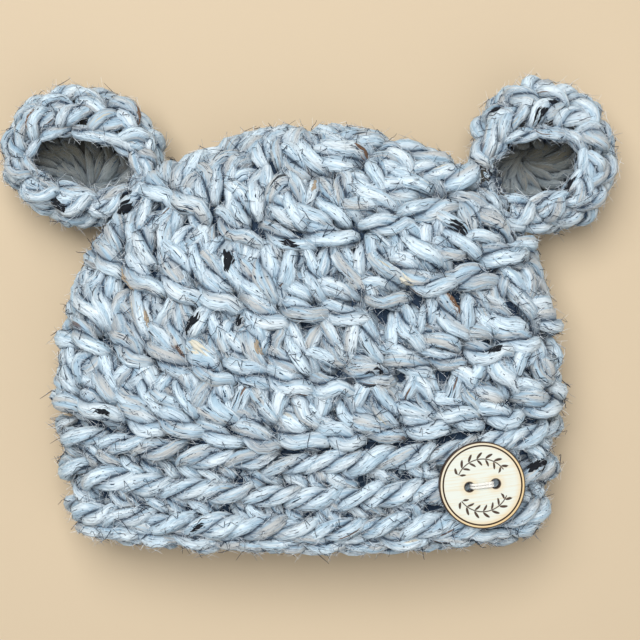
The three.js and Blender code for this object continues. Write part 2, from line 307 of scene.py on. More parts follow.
def yarn_material():
    """The yarn, with painted shade where it lies deep and in the creases of its plies, and a darker, warmer
    painted shade inside the ears.
    """
    made, tree, wool = new_material("tweed_yarn", {
        "Roughness": 0.92, "Specular IOR Level": 0.12,
        "Sheen Weight": 0.35, "Sheen Roughness": 0.5, "Sheen Tint": (0.8, 0.92, 1, 1)})
    soft = streaks(tree, 0.14, 1.6, 5, 0.32, 0.58, 0)
    fine = streaks(tree, 0.22, 4.5, 3, 0.50, 0.66, 31)
    hairs = streaks(tree, 0.26, 4.2, 2, 0.645, 0.685, 77)
    specks = streaks(tree, 0.9, 4.5, 1, 0.69, 0.73, 610)
    tint = streaks(tree, 0.02, 0.15, 1, 0.40, 0.60, 500)
    warm = streaks(tree, 0.03, 0.3, 1, 0.53, 0.62, 820)
    black = streaks(tree, 0.085, 0.9, 1, 0.735, 0.75, 140)
    brown = streaks(tree, 0.075, 0.8, 1, 0.735, 0.77, 260)
    cream = streaks(tree, 0.09, 1.0, 1, 0.725, 0.78, 390)
    colour = mixed(tree, tint, yarn_light, yarn_pale)
    colour = mixed(tree, warm, colour, yarn_warm)
    colour = mixed(tree, soft, yarn_middle, colour)
    colour = mixed(tree, smooth_step(tree, fine, 0, 1, 0.35), colour, yarn_shade)
    colour = mixed(tree, cream, colour, fleck_cream)
    colour = mixed(tree, brown, colour, fleck_brown)
    # Painted shade inside the ears: the inside attribute mixes in the warm ear shade
    inside = node(tree, "ShaderNodeAttribute", attribute_name="inside")
    colour = mixed(tree, inside.outputs["Fac"], colour, ear_shade)
    colour = mixed(tree, hairs, colour, yarn_hair)
    colour = mixed(tree, specks, colour, yarn_hair)
    colour = mixed(tree, black, colour, fleck_black)
    # Painted shade in the creases between the plies, by the angle each point is turned from the other ply,
    # and where strands lie deep
    side_shade = mixed(tree, inside.outputs["Fac"], yarn_shade, ear_crevice_painted_shade)
    deep_shade = mixed(tree, inside.outputs["Fac"], crevice_painted_shade, ear_crevice_painted_shade)
    facing = node(tree, "ShaderNodeAttribute", attribute_name="facing")
    colour = mixed(tree, smooth_step(tree, facing.outputs["Fac"], 2.4, 1.1, 0.5), colour, side_shade)
    colour = mixed(tree, smooth_step(tree, facing.outputs["Fac"], 1.45, 1.0, 0.88), colour, deep_shade)
    depth = node(tree, "ShaderNodeAttribute", attribute_name="sunk")
    colour = mixed(tree, depth.outputs["Fac"], colour, deep_shade)
    tree.links.new(colour, wool.inputs["Base Color"])
    ridges = streaks(tree, 0.25, 2.8, 5, 0.25, 0.75, 11)
    frizz = streaks(tree, 0.9, 6, 3, 0.3, 0.7, 210)
    fuzz = raised(tree, frizz, 0.8, 0.25 * mm, raised(tree, ridges, 0.6, 0.45 * mm))
    tree.links.new(fuzz, wool.inputs["Normal"])
    return made


tweed_yarn = yarn_material()
# How a ply is shaped: its thickness at its ends, its way from the strand's middle, and its unevenness
ply_end = 0.45
ply_apart = 0.62
ply_lumps = (0.08, 0.06)
ply_bundles = (0.09, 0.06)
ply_bundle_turn = 3
ply_grain = 0.035
ply_vary = 0.08
# How far stitches and the points of their strands stray: across, down, and out in millimetres
stitch_stray = (0.05, 0.035, 0.35)
point_stray = (0.03, 0.022, 0.2)
lowest_strand = 0.15 * mm
# From which height on the cloth a strand darkens with painted shade, and over how many millimetres
shade_from = -0.4
shade_over = 2.2
hollow_cell = 1.8 * mm


def smooth_weights(count, samples):
    """Weights that turn a few places on a line into a smooth row of samples through them."""
    weights = np.zeros((samples, count))
    for row, place in zip(weights, np.linspace(0, count - 1, samples)):
        start = min(int(place), count - 2)
        part = place - start
        pull = (-part + 2 * part ** 2 - part ** 3, 2 - 5 * part ** 2 + 3 * part ** 3,
                part + 4 * part ** 2 - 3 * part ** 3, part ** 3 - part ** 2)
        for offset, weight in zip((-1, 0, 1, 2), pull):
            row[min(max(start + offset, 0), count - 1)] += weight / 2
    return weights


def unit(vectors):
    return vectors / np.maximum(np.linalg.norm(vectors, axis=-1, keepdims=True), 1e-12)


def ways_across(centres, normals):
    """The two ways square to a line at each of its steps, one level and one upright."""
    tangents = unit(np.gradient(centres, axis=1))
    level = unit(np.cross(tangents, normals))
    return level, np.cross(level, tangents)


def tube_rings(centres, normals, radius, sides):
    """Rings of points round centre lines: [line, step, side, xyz]."""
    level, upright = ways_across(centres, normals)
    turn = 2 * math.pi * np.arange(sides) / sides
    ring = np.cos(turn)[:, None] * level[:, :, None] + np.sin(turn)[:, None] * upright[:, :, None]
    if radius.ndim == 2:
        radius = radius[..., None]
    return centres[:, :, None] + radius[..., None] * ring


def two_plies(rng, centres, normals, ply_radius, twist, sides):
    """The two plies of each strand, twisted to the left round its centre line, thinner at its ends.

    Returns their rings, the length along them, and how far each point is turned from the other ply.
    """
    count = len(centres)
    level, upright = ways_across(centres, normals)
    distance = np.linalg.norm(np.diff(centres, axis=1), axis=-1)
    distance = np.concatenate([np.zeros((count, 1)), np.cumsum(distance, axis=1)], axis=1)
    share = distance / distance[:, -1:]
    taper = ply_end + (1 - ply_end) * np.sin(math.pi * share) ** 0.7
    start = rng.uniform(-0.6, 1.5, (count, 1))
    rings, lengths, facings = [], [], []
    for ply in (0, 1):
        wave = rng.uniform(0, 2 * math.pi, (2, count, 1))
        lumps = 1 + ply_lumps[0] * np.sin(7 * share + wave[0]) + ply_lumps[1] * np.sin(13 * share + wave[1])
        radius = ply_radius * taper * lumps
        turn = start + math.pi * ply + 2 * math.pi * (share - 0.5) * distance[:, -1:] / twist
        away = ply_apart * ply_radius * taper
        across = np.cos(turn)[..., None] * level + np.sin(turn)[..., None] * upright
        centre = centres + away[..., None] * across
        girth = 2 * math.pi * np.arange(sides) / sides - ply_bundle_turn * share[..., None]
        wide, narrow = wave[..., None]
        bundles = 1 + ply_bundles[0] * np.sin(2 * girth + wide) + ply_bundles[1] * np.sin(3 * girth + narrow)
        bundles = bundles + rng.normal(0, ply_grain, bundles.shape)
        rings.append(tube_rings(centre, normals, radius[..., None] * bundles, sides))
        lengths.append(distance / mm + rng.uniform(0, 900, (count, 1)))
        # How far each point is turned from the other ply, by which the yarn paints shade into the crease
        # between them
        inward = unit(centres - centre)[:, :, None]
        turned = (unit(rings[-1] - centre[:, :, None]) * inward).sum(axis=-1)
        facings.append(np.arccos(np.clip(turned, -1, 1)))
    return np.concatenate(rings), np.concatenate(lengths), np.concatenate(facings)


def loop_layout(lines, steps, sides):
    """Faces of closed tubes: quads between rings and one cap on each end, as corner lists."""
    base = np.arange(lines * steps * sides).reshape(lines, steps, sides)
    beside = np.roll(base, -1, axis=2)
    quads = np.stack([base[:, :-1], base[:, 1:], beside[:, 1:], beside[:, :-1]], axis=-1).reshape(-1, 4)
    first = base[:, 0]
    last = base[:, -1, ::-1]
    return quads, np.concatenate([first, last])


def placed(name, data):
    """An object of the scene that shows a mesh, or is a lamp or the camera."""
    made = bpy.data.objects.new(name, data)
    bpy.context.collection.objects.link(made)
    return made


def tube_mesh(name, groups, material):
    """One mesh of many closed tubes, with the painted shade of each point (sunk, facing, inside) as
    attributes.
    """
    points, corners, starts, uvs = [], [], [], []
    values = {"sunk": [], "facing": [], "inside": []}
    vertex_total, corner_total = 0, 0
    for group in groups:
        rings = group["rings"]
        lines, steps, sides = rings.shape[:3]
        quads, caps = loop_layout(lines, steps, sides)
        points.append(rings.reshape(-1, 3))
        for key, kept in values.items():
            kept.append(np.broadcast_to(group.get(key, 0), rings.shape[:3]).reshape(-1))
        along = np.repeat(group["lengths"].reshape(-1), sides)
        side_of = np.tile(np.arange(sides), lines * steps) / sides
        edge = np.array([0, 0, 1, 1]) / sides
        quad_uv = np.stack([along[quads], side_of[quads[:, :1]] + edge], axis=-1)
        cap_uv = np.stack([along[caps], side_of[caps]], axis=-1)
        starts.append(corner_total + 4 * np.arange(len(quads)))
        corner_total += quads.size
        starts.append(corner_total + sides * np.arange(len(caps)))
        corner_total += caps.size
        corners += [quads.reshape(-1) + vertex_total, caps.reshape(-1) + vertex_total]
        uvs += [quad_uv.reshape(-1, 2), cap_uv.reshape(-1, 2)]
        vertex_total += lines * steps * sides
    points = np.concatenate(points)
    corners = np.concatenate(corners)
    starts = np.concatenate(starts)
    mesh = bpy.data.meshes.new(name)
    mesh.vertices.add(len(points))
    mesh.loops.add(len(corners))
    mesh.polygons.add(len(starts))
    mesh.vertices.foreach_set("co", points.astype(np.float32).reshape(-1))
    mesh.loops.foreach_set("vertex_index", corners.astype(np.int32))
    mesh.polygons.foreach_set("loop_start", starts.astype(np.int32))
    mesh.update(calc_edges=True)
    layer = mesh.uv_layers.new(name="ply")
    layer.data.foreach_set("uv", np.concatenate(uvs).astype(np.float32).reshape(-1))
    for key, kept in values.items():
        layer = mesh.attributes.new(key, "FLOAT", "POINT")
        layer.data.foreach_set("value", np.concatenate(kept).astype(np.float32))
    mesh.validate()
    mesh.shade_smooth()
    mesh.materials.append(material)
    return placed(name, mesh)


def laid_strands(rng, surface, places, strand, sides=8, steps=15):
    """One kind of strand, laid at each place: (around, up, width, height) of its stitch."""
    shape = np.array(strand["through"])
    count = len(places)
    stray = rng.normal(0, 1, (count, 1, 3)) * stitch_stray
    stray = stray + rng.normal(0, 1, (count, len(shape), 3)) * point_stray
    shape = shape[None] + stray
    around = places[:, None, 0] + shape[..., 0] * places[:, None, 2]
    up = places[:, None, 1] - shape[..., 1] * places[:, None, 3]
    line = smooth_weights(shape.shape[1], steps)
    around, up, out = (np.einsum("sk,nk->ns", line, part) for part in (around, up, shape[..., 2] * mm))
    centres, normals = on_cloth(surface, around, up, out)
    radius = strand["ply"] * mm * rng.normal(1, ply_vary, (count, 1))
    rings, lengths, facing = two_plies(rng, centres, normals, radius, strand["twist"] * mm, sides)
    # Painted shade on the parts of a strand that lie low on the cloth
    sunk = np.clip((strand.get("shade_below", shade_from) - out / mm) / shade_over, 0, 1)[..., None]
    cloth = np.concatenate([centres - normals * out[..., None]] * 2)[:, :, None]
    height = ((rings - cloth) * np.concatenate([normals] * 2)[:, :, None]).sum(axis=-1)
    rings[..., 2] = np.maximum(rings[..., 2], lowest_strand)
    return {"rings": rings, "lengths": lengths, "facing": facing, "height": height,
            "sunk": np.concatenate([sunk, sunk])}


def shaded_in_hollows(groups, from_depth, to_depth):
    """Paints shade, as sunk, on what lies lower on the cloth than the strands round it do."""
    points = np.concatenate([group["rings"].reshape(-1, 3) for group in groups])
    heights = np.concatenate([group["height"].reshape(-1) for group in groups])
    low = points.min(axis=0) - 2 * hollow_cell
    cells = ((points - low) / hollow_cell).astype(int)
    top = np.full(cells.max(axis=0) + 3, -1.0)
    np.maximum.at(top, tuple(cells.T), heights)
    filled = top > -1
    top = np.where(filled, top, 0)
    steps = [(x, y, z) for x in (-1, 0, 1) for y in (-1, 0, 1) for z in (-1, 0, 1)]
    total = sum(np.roll(top, step, axis=(0, 1, 2)) for step in steps)
    count = sum(np.roll(filled, step, axis=(0, 1, 2)).astype(int) for step in steps)
    beside = total / np.maximum(count, 1)
    for group in groups:
        cell = ((group["rings"] - low) / hollow_cell).astype(int)
        depth = beside[cell[..., 0], cell[..., 1], cell[..., 2]] - group["height"]
        share = np.clip((depth / mm - from_depth) / (to_depth - from_depth), 0, 1)
        group["sunk"] = np.maximum(group["sunk"], share)
    return groups


# The crown
# Five rounds of tall crochet stitches, worked from a ring at the crown's tip. Each stitch shows a
# long slanting post, a short leaf that leans against it, and a thick level loop at its foot.
crown_rounds = [
    {"name": "round_1", "length": 0.198, "stitch": 9.4, "stretch": 1.22,
     "shows": ("post", "second_post", "lean", "back", "filling")},
    {"name": "round_2", "length": 0.219, "stitch": 12.0},
    {"name": "round_3", "length": 0.221, "stitch": 11.8},
    {"name": "round_4", "length": 0.199, "stitch": 11.8},
    {"name": "round_5", "length": 0.163, "stitch": 11.8},
]
# Where each strand runs: across in stitch widths, down in round heights, out in millimetres
crown_stitch = {
    "post": {"ply": 2.4, "twist": 26, "through": [
        (-0.05, -0.10, -2.6), (0.02, 0.05, 0.2), (0.12, 0.24, 1.2), (0.25, 0.43, 1.2), (0.38, 0.60, 0.5),
        (0.47, 0.72, -2.6)]},
    "second_post": {"ply": 2.0, "twist": 24, "through": [
        (0.20, -0.08, -2.8), (0.24, 0.08, 0.1), (0.31, 0.25, 0.7), (0.40, 0.44, 0.5), (0.50, 0.60, -2.4)]},
    "lean": {"ply": 2.35, "twist": 24, "through": [
        (0.98, -0.09, -3.0), (0.92, 0.05, 0.2), (0.77, 0.17, 1.1), (0.62, 0.30, 0.7), (0.48, 0.45, -2.8)]},
    "back": {"ply": 2.4, "twist": 24, "through": [
        (-0.72, 0.26, -3.2), (-0.52, 0.36, -0.1), (-0.25, 0.48, 1.0), (0.03, 0.62, 0.9), (0.22, 0.76, -2.2)]},
    "foot": {"ply": 2.5, "twist": 24, "through": [
        (-0.42, 0.66, -3.4), (-0.27, 0.75, 0.8), (0.00, 0.83, 2.3), (0.28, 0.89, 2.3), (0.50, 0.94, 0.9),
        (0.64, 1.02, -3.4)]},
    "filling": {"ply": 2.3, "twist": 20, "shade_below": 0.0, "through": [
        (0.30, 0.10, -1.8), (0.62, 0.36, -0.7), (0.72, 0.60, -0.6), (0.60, 0.86, -1.8)]},
}


stitch_unevenness = 0.035
# The upper side's part of the way round, which starts and ends just beyond the folds
upper_from = 0.97
upper_to = 0.53


def stitch_places(rng, surface, top_up, bottom_up, stitch, shift):
    """The stitches of one round: where each stands, how wide it is and how tall, as shares."""
    count = max(5, round(ring_length(surface, (top_up + bottom_up) / 2) / (stitch * mm)))
    around = (np.arange(count) + shift + rng.normal(0, stitch_unevenness, count)) / count
    width = np.full(count, 1 / count)
    return np.stack([around, np.full(count, top_up), width, np.full(count, top_up - bottom_up)], axis=1)


def lay_both_sides(rng, surface, places, strands):
    """The strands of a round: those of the upper side, and plainer ones for the underside."""
    around = places[:, 0] % 1
    up_there = (around < upper_to) | (around > upper_from)
    upper = [laid_strands(rng, surface, places[up_there], strand, 8, 13) for strand in strands]
    under = [laid_strands(rng, surface, places[~up_there], strand, 6, 10) for strand in strands]
    return upper, under


rng = np.random.default_rng(11)
crown_upper, crown_under = [], []
crown_hollow_shade = (-0.3, 1.2)
round_shift = 0.37
tip_share = 0.968
brim_edge = 3.4 * mm / hat_length
crown_base = brim_depth / hat_length
top = tip_share
for number, one_round in enumerate(crown_rounds):
    bottom = top - one_round["length"] * (tip_share - crown_base)
    places = stitch_places(rng, hat_cloth, top, bottom, one_round["stitch"], round_shift * number)
    places[:, 3] *= one_round.get("stretch", 1)
    strands = [crown_stitch[kind] for kind in one_round.get("shows", crown_stitch)]
    upper, under = lay_both_sides(rng, hat_cloth, places, strands)
    crown_upper += upper
    crown_under += under
    top = bottom

for name, groups in (("crown_stitches_upper", crown_upper), ("crown_stitches_under", crown_under)):
    piece = tube_mesh(name, shaded_in_hollows(groups, *crown_hollow_shade), tweed_yarn)
    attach(piece, "root")
    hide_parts("crown")


def mesh_from(name, built):
    """A mesh of what was built."""
    made = bpy.data.meshes.new(name)
    built.to_mesh(made)
    built.free()
    return made


def wrapped_cloth(name, surface, up_from, up_to, columns, rows, sunk, thickness):
    """A closed wall of felted fabric behind the stitches, wrapped on a cloth surface."""
    mesh = bmesh.new()
    bmesh.ops.create_grid(mesh, x_segments=columns, y_segments=rows, size=0.5)
    around = np.array([vertex.co.x + 0.5 for vertex in mesh.verts])
    up = up_from + np.array([vertex.co.y + 0.5 for vertex in mesh.verts]) * (up_to - up_from)
    points, _ = on_cloth(surface, around, up, np.full_like(up, -sunk))
    for vertex, point in zip(mesh.verts, points):
        vertex.co = point
    bmesh.ops.remove_doubles(mesh, verts=mesh.verts, dist=1e-6)
    bmesh.ops.recalc_face_normals(mesh, faces=mesh.faces)
    if thickness:
        bmesh.ops.solidify(mesh, geom=mesh.faces[:], thickness=thickness)
    for vertex in mesh.verts:
        vertex.co.z = max(vertex.co.z, lowest_fabric)
    made = mesh_from(name, mesh)
    made.shade_smooth()
    return placed(name, made)


def fabric_material(name, shade, light):
    """The fabric between the strands: the same wool, coloured dark with painted shade, as it is seen deep in
    the shade of the stitches.
    """
    made, tree, wool = new_material(name, {"Roughness": 1})
    place = node(tree, "ShaderNodeTexCoord")
    noise = node(tree, "ShaderNodeTexNoise")
    noise.inputs["Scale"].default_value = 900
    noise.inputs["Detail"].default_value = 4
    tree.links.new(place.outputs["Object"], noise.inputs["Vector"])
    tree.links.new(mixed(tree, noise.outputs["Fac"], shade, light), wool.inputs["Base Color"])
    tree.links.new(raised(tree, noise.outputs["Fac"], 1, 0.5 * mm), wool.inputs["Normal"])
    return made


fabric_thickness = 2 * mm
crown_fabric_sunk = 1.2 * mm
lowest_fabric = 0.6 * mm
# The fabric behind the stitches is a dark sheet of painted shade, for the gaps between them
fabric_in_shade = fabric_material("fabric_in_shade", crevice_painted_shade, fabric_light)
crown_fabric = wrapped_cloth(
    "crown_fabric", hat_cloth, crown_base, 1, 120, 40, crown_fabric_sunk, fabric_thickness)
crown_fabric.data.materials.append(fabric_in_shade)
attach(crown_fabric, "root")
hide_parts("crown")


# The brim
# Three ribs of half stitches, worked so that each row's chain of loops stands proud like a rope.
# Between the ribs the legs of the stitches lie in the shade, and the last legs turn under the edge.
brim_ribs = [
    {"name": "rib_1", "length": 0.33},
    {"name": "rib_2", "length": 0.33},
    {"name": "rib_3", "length": 0.34},
]
rib_shift = 0.41
rib_hollow_shade = (1.1, 2.7)
brim_fabric_edge = 0.035
brim_fabric_sunk = 1.4 * mm
brim_stitch_width = 12.3
rib_strands = {
    "rope": {"ply": 2.15, "twist": 25, "through": [
        (-0.68, 0.70, -2.2), (-0.52, 0.63, 0.8), (-0.20, 0.52, 2.3), (0.18, 0.41, 2.5), (0.48, 0.32, 1.3),
        (0.66, 0.26, -1.8)]},
    "leg": {"ply": 1.8, "twist": 20, "shade_below": -0.2, "through": [
        (-0.10, 0.62, -2.6), (0.02, 0.76, -0.6), (0.16, 0.92, 0.1), (0.28, 1.08, -0.3), (0.36, 1.20, -2.6)]},
    "second_leg": {"ply": 1.8, "twist": 20, "shade_below": -0.2, "through": [
        (0.36, 0.64, -2.6), (0.44, 0.78, -0.7), (0.54, 0.94, -0.1), (0.66, 1.08, -0.5), (0.74, 1.20, -2.6)]},
}
edge_filling = {"ply": 1.7, "twist": 20, "shade_below": -1.2, "through": [
    (0.30, 0.62, -2.4), (0.48, 0.78, -0.8), (0.72, 0.92, 0.0), (0.98, 1.00, -0.6), (1.20, 1.00, -3.0)]}
edge_strand = {"ply": 1.85, "twist": 20, "shade_below": -1.2, "through": [
    (-0.20, 0.52, -2.4), (-0.05, 0.68, -0.4), (0.22, 0.84, 0.9), (0.52, 0.95, 0.9), (0.80, 1.00, -0.6),
    (0.96, 1.00, -3.0)]}

brim_upper, brim_under = [], []
top = crown_base
for number, rib in enumerate(brim_ribs):
    bottom = top - rib["length"] * (crown_base - brim_edge)
    places = stitch_places(rng, hat_cloth, top, bottom, brim_stitch_width, rib_shift * number)
    strands = list(rib_strands.values())
    if rib is brim_ribs[-1]:
        strands = [rib_strands["rope"], edge_strand, edge_filling]
    upper, under = lay_both_sides(rng, hat_cloth, places, strands)
    brim_upper += upper
    brim_under += under
    top = bottom

for name, groups in (("brim_ribs_upper", brim_upper), ("brim_ribs_under", brim_under)):
    piece = tube_mesh(name, shaded_in_hollows(groups, *rib_hollow_shade), tweed_yarn)
    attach(piece, "root")
    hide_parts("brim")

brim_fabric = wrapped_cloth(
    "brim_fabric", hat_cloth, brim_fabric_edge, crown_base, 120, 12, brim_fabric_sunk, fabric_thickness)
brim_fabric.data.materials.append(fabric_in_shade)
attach(brim_fabric, "root")
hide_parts("brim")


# The inside of the hat
# On their wrong side the rounds show level bars of yarn, with short upright strands between them.
# They can be seen through the brim, as far as the light falls into the hat.
inside_sunk = 7.2 * mm
inside_stitch_width = 11.5
inside_shift = 0.3
inner_points, inner_normals = hat_surface(inside_sunk, 120, 320)
inner_cloth = (inner_points, -inner_normals)
inside_strands = [
    {"ply": 1.6, "twist": 20, "through": [
        (-0.50, 0.84, -1.8), (-0.25, 0.80, 0.4), (0.10, 0.86, 0.5), (0.38, 0.92, 0.3), (0.58, 0.90, -1.8)]},
    {"ply": 1.5, "twist": 20, "through": [
        (0.05, -0.05, -1.8), (0.12, 0.20, 0.2), (0.20, 0.50, 0.4), (0.30, 0.76, -1.6)]},
    {"ply": 1.5, "twist": 20, "through": [
        (0.62, 0.00, -1.8), (0.56, 0.22, 0.1), (0.48, 0.50, 0.2), (0.42, 0.74, -1.6)]},
]
inside_rows = [
    {"name": "rib_3", "from_up": 0.075, "reach": 0.065},
    {"name": "rib_2", "from_up": 0.145, "reach": 0.07},
    {"name": "rib_1", "from_up": 0.215, "reach": 0.07},
    {"name": "round_5", "from_up": 0.345, "reach": 0.12},
    {"name": "round_4", "from_up": 0.490, "reach": 0.145},
    {"name": "round_3", "from_up": 0.650, "reach": 0.16},
]
inside_groups = []
for number, row in enumerate(inside_rows):
    bottom = row["from_up"] - row["reach"]
    places = stitch_places(
        rng, inner_cloth, row["from_up"], bottom, inside_stitch_width, inside_shift * number)
    inside_groups += [laid_strands(rng, inner_cloth, places, strand, 5, 7) for strand in inside_strands]
inside_stitches = tube_mesh("inside_stitches", inside_groups, tweed_yarn)
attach(inside_stitches, "root")
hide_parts("crown")


# The ears
# Each ear is a small cup of the same wool, crocheted in rounds from its floor and sewn to a corner
# of the crown. It lies on its back: its mouth looks up, and its rim is a plait of thick loops.
ear_shapes = {
    "ear_left": {
        "side": -1, "half_width": 24.6, "reach_up": 21.8, "reach_down": 21.5, "height": 25,
        "turn": -9, "shift": (0.0, 0.0), "mouth_aside": 2.0, "floor_drop": 0.30},
    "ear_right": {
        "side": 1, "half_width": 22.0, "reach_up": 23.6, "reach_down": 24.2, "height": 26,
        "turn": 20, "shift": (-1.5, 1.2), "mouth_aside": -6.0, "floor_drop": -0.24},
}
ear_mouth_width = 0.72
ear_mouth_length = 0.41
ear_mouth_drop = 0.14
# The cup's section, from the middle of its underside over the rim to the middle of its floor:
# up along it, how far it has gone over from the outer outline to the mouth's, size, and height
ear_section = [
    {"up": 0.00, "to_mouth": 0.00, "size": 0.00, "height": 0.00},
    {"up": 0.12, "to_mouth": 0.00, "size": 0.50, "height": 0.01},
    {"up": 0.24, "to_mouth": 0.00, "size": 0.84, "height": 0.14},
    {"up": 0.34, "to_mouth": 0.00, "size": 0.96, "height": 0.38},
    {"up": 0.42, "to_mouth": 0.06, "size": 0.97, "height": 0.62},
    {"up": 0.50, "to_mouth": 0.30, "size": 0.97, "height": 0.84},
    {"up": 0.58, "to_mouth": 0.66, "size": 1.00, "height": 0.93},
    {"up": 0.65, "to_mouth": 0.95, "size": 1.03, "height": 0.86},
    {"up": 0.74, "to_mouth": 1.00, "size": 1.00, "height": 0.62},
    {"up": 0.84, "to_mouth": 1.00, "size": 0.86, "height": 0.42},
    {"up": 0.93, "to_mouth": 1.00, "size": 0.45, "height": 0.34},
    {"up": 1.00, "to_mouth": 1.00, "size": 0.00, "height": 0.33},
]
ear_section_blurs = 4
ear_floor_from = 0.6
ear_inward = 3.0
ear_along = 0.71
ear_out = 19 * mm


def ear_surface(name, rows=120, columns=240):
    """The middle of an ear's rounds, as a cloth surface that closes at its underside and its floor."""
    shape = ear_shapes[name]
    low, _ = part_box(name)
    ups = [station["up"] for station in ear_section]
    share = np.linspace(0, 1, rows + 1)
    to_mouth, size, height = (
        np.interp(share, ups, [station[key] for station in ear_section])[:, None]
        for key in ("to_mouth", "size", "height"))
    blur = np.array([0.25, 0.5, 0.25])
    for part in (to_mouth, size, height):
        for _ in range(ear_section_blurs):
            part[1:-1, 0] = np.convolve(part[:, 0], blur, "valid")
    angle = 2 * math.pi * np.arange(columns) / columns
    half_width = shape["half_width"] - ear_inward
    reach_up = shape["reach_up"] - ear_inward
    reach_down = shape["reach_down"] - ear_inward
    outer_x = half_width * np.cos(angle)
    outer_y = np.where(np.sin(angle) > 0, reach_up, reach_down) * np.sin(angle)
    mouth_x = ear_mouth_width * shape["half_width"] * np.cos(angle)
    mouth_y = ear_mouth_length * shape["reach_up"] * np.sin(angle)
    x = size * (outer_x * (1 - to_mouth) + mouth_x * to_mouth) + shape["mouth_aside"] * to_mouth
    inside = np.where(share[:, None] > ear_floor_from, 1 - size, 0)
    middle_y = -(ear_mouth_drop + shape["floor_drop"] * inside) * shape["reach_up"] * to_mouth
    y = middle_y + size * (outer_y * (1 - to_mouth) + mouth_y * to_mouth)
    z = ear_inward + height * (shape["height"] - 2 * ear_inward) + np.zeros(columns)
    turn = math.radians(shape["turn"])
    middle_x, middle_y = ear_middles[name] + np.array(shape["shift"]) * mm
    points = np.stack([
        middle_x + (x * math.cos(turn) - y * math.sin(turn)) * mm,
        middle_y + (x * math.sin(turn) + y * math.cos(turn)) * mm,
        low[2] + z * mm,
    ], axis=-1)
    return with_normals(points)


def ear_middle(side):
    """An ear stands off the crown's outline, square to it."""
    around = np.array(0 if side > 0 else math.pi)
    before, at, after = (
        hat_points(np.array(ear_along + step), around, 0.0)[:2] for step in (-0.01, 0, 0.01))
    tangent = unit(after - before)
    return at + ear_out * side * np.array([tangent[1], -tangent[0]])


ear_middles = {name: ear_middle(shape["side"]) for name, shape in ear_shapes.items()}
# The rounds of an ear from its rim outwards and inwards: where each starts, how far it reaches, how many
ear_rounds = [
    {"strand": "wall", "from_up": 0.37, "reach": 0.20, "stitches": 16},
    {"strand": "plait_in", "from_up": 0.24, "reach": 0.15, "stitches": 9},
    {"strand": "plait_out", "from_up": 0.45, "reach": 0.12, "stitches": 12},
    {"strand": "plait_in", "from_up": 0.53, "reach": 0.12, "stitches": 12},
    {"strand": "plait_out", "from_up": 0.61, "reach": 0.12, "stitches": 11},
    {"strand": "mouth_edge", "from_up": 0.69, "reach": 0.10, "stitches": 10},
    {"strand": "inner_wall", "from_up": 0.94, "reach": 0.25, "stitches": 16},
]
ear_strands = {
    "plait_out": {"ply": 2.1, "twist": 22, "through": [
        (-0.50, 0.95, -2.4), (-0.34, 0.78, 0.3), (-0.05, 0.52, 1.5), (0.26, 0.28, 1.2), (0.48, 0.08, -1.8)]},
    "plait_in": {"ply": 2.1, "twist": 22, "through": [
        (-0.48, 0.05, -2.2), (-0.28, 0.22, 0.5), (0.05, 0.46, 1.6), (0.34, 0.74, 0.8), (0.52, 0.95, -2.0)]},
    "mouth_edge": {"ply": 1.7, "twist": 20, "through": [
        (-0.60, 0.30, -1.8), (-0.40, 0.36, 0.3), (0.00, 0.45, 1.0), (0.38, 0.52, 0.6), (0.58, 0.60, -1.6)]},
    "wall": {"ply": 1.8, "twist": 22, "through": [
        (-0.15, -0.15, -1.5), (0.00, 0.15, 0.6), (0.18, 0.50, 1.0), (0.34, 0.85, 0.4), (0.44, 1.10, -1.8)]},
    "inner_wall": {"ply": 1.7, "twist": 20, "through": [
        (-0.15, -0.20, -1.2), (0.00, 0.10, 0.4), (0.16, 0.50, 0.6), (0.30, 0.90, 0.2), (0.38, 1.10, -1.4)]},
}
# The fabric in the ears is painted shade, warmer and darker, for the gaps inside the cups
ear_fabric_deep = (0.010, 0.010, 0.009)
ear_fabric_light = (0.060, 0.058, 0.048)
ear_fabric_sunk = 1.6 * mm
ear_unevenness = 0.04
ear_round_shift = 0.3
ear_hollow_shade = (1.3, 3.0)
# The strands inside an ear take a warm painted shade, darker towards the crown's tip, where the rim keeps the
# light off them
inner_shade = 0.72
rim_shade = 0.25
rim_shade_start = 0.9
rim_shade_over = 7 * mm
fabric_in_ear_shade = fabric_material("fabric_in_ear_shade", ear_fabric_deep, ear_fabric_light)
ear_groups = {}
for name in ear_shapes:
    cloth = ear_surface(name)
    groups = []
    for number, ear_round in enumerate(ear_rounds):
        count = ear_round["stitches"]
        around = (np.arange(count) + ear_round_shift * number + rng.normal(0, ear_unevenness, count)) / count
        places = np.stack([around, np.full(count, ear_round["from_up"]), np.full(count, 1 / count),
                           np.full(count, ear_round["reach"])], axis=1)
        groups.append(laid_strands(rng, cloth, places, ear_strands[ear_round["strand"]]))
    inner = groups[-1]
    under_rim = (inner["rings"][..., 1] - ear_middles[name][1]) / rim_shade_over + rim_shade_start
    inner["inside"] = inner_shade + rim_shade * np.clip(under_rim, 0, 1)
    ear_groups[name] = groups
    piece = tube_mesh(name + "_stitches", shaded_in_hollows(groups, *ear_hollow_shade), tweed_yarn)
    fabric = wrapped_cloth(name + "_fabric", cloth, 0, 1, 64, 48, ear_fabric_sunk, 0)
    fabric.data.materials.append(fabric_in_ear_shade)
    for part in (piece, fabric):
        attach(part, "root")
        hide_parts(name)


# The loose fibres and slubs
# Fine pale fibres stand off the yarn everywhere and give it a soft halo. Dark hairs curl over it, and
# short thick slubs of black, brown, tan and cream wool are carded into it.
loose_colour = (0.88, 0.94, 0.98)
loose_grey = (0.09, 0.16, 0.26)
hair_colour = (0.008, 0.020, 0.046)
sight_cell = 1.2 * mm
sight_slack = 0.8 * mm
fibre_gap = 0.08 * mm
lowest_fibre = 0.1 * mm
slub_reach = 2.2 * mm
slub_gap = 0.12 * mm
